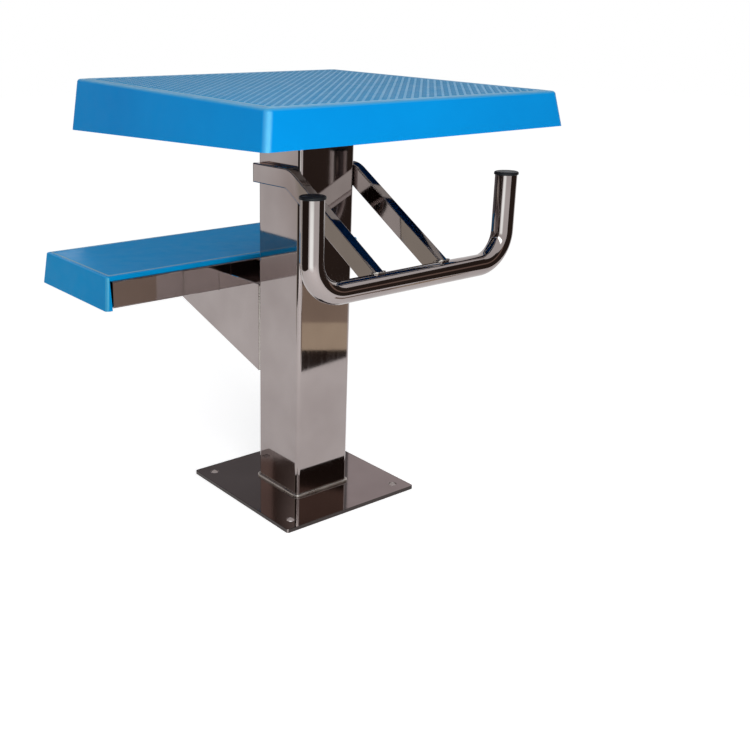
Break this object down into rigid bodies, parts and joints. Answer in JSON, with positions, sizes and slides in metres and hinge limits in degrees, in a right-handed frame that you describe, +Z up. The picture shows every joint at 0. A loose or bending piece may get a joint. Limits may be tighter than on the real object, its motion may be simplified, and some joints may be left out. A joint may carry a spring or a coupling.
{
  "type": "swimming starting block",
  "caption": "Two-level swimming starting block: wedge platform and rear step on a square post, with a U-shaped start handle on two arms and a bolt-down base plate.",
  "frame": {"origin": "centre of the base plate's underside, on the post's axis, at floor level", "axes": "+Z up; -Y to the water, the side of the handle; +Y to the rear step; +X to the right for someone who looks at the front"},
  "size_m": [0.51, 0.639, 0.6267],
  "materials": {
    "polished_steel": "mirror-polished stainless steel",
    "plain_steel": "plain stainless steel",
    "blue_plastic": "moulded, semi-gloss sides, fine anti-slip pattern on top",
    "black_plastic": "moulded, satin"
  },
  "bodies": {
    "root": {"arm_end_plate_left": "polished_steel", "arm_end_plate_right": "polished_steel", "arm_left": "polished_steel", "arm_right": "polished_steel", "base_plate": "polished_steel", "base_weld": "plain_steel", "frame_back_cross_rail": "plain_steel", "frame_back_rail": "plain_steel", "frame_front_cross_rail": "plain_steel", "frame_front_rail": "plain_steel", "frame_left_rail": "plain_steel", "frame_right_rail": "plain_steel", "gusset_left": "polished_steel", "gusset_right": "polished_steel", "handle_plug_left": "black_plastic", "handle_plug_right": "black_plastic", "handle_tube": "polished_steel", "handle_weld_left": "plain_steel", "handle_weld_right": "plain_steel", "head_bolt_1": "plain_steel", "head_bolt_2": "plain_steel", "head_bolt_3": "plain_steel", "head_bolt_4": "plain_steel", "head_nut_1": "plain_steel", "head_nut_2": "plain_steel", "head_nut_3": "plain_steel", "head_nut_4": "plain_steel", "head_plate": "plain_steel", "head_washer_1": "plain_steel", "head_washer_2": "plain_steel", "head_washer_3": "plain_steel", "head_washer_4": "plain_steel", "head_weld": "plain_steel", "platform_screw_1": "plain_steel", "platform_screw_2": "plain_steel", "platform_screw_3": "plain_steel", "platform_screw_4": "plain_steel", "platform_screw_5": "plain_steel", "platform_screw_6": "plain_steel", "platform_shell": "blue_plastic", "post_tube": "polished_steel", "step_back_rail": "polished_steel", "step_cover": "blue_plastic", "step_front_rail": "polished_steel", "step_left_bearer": "polished_steel", "step_left_rail": "polished_steel", "step_right_bearer": "polished_steel", "step_right_rail": "polished_steel", "step_screw_1": "plain_steel", "step_screw_2": "plain_steel", "step_screw_3": "plain_steel", "step_screw_4": "plain_steel"}
  },
  "joints": []
}
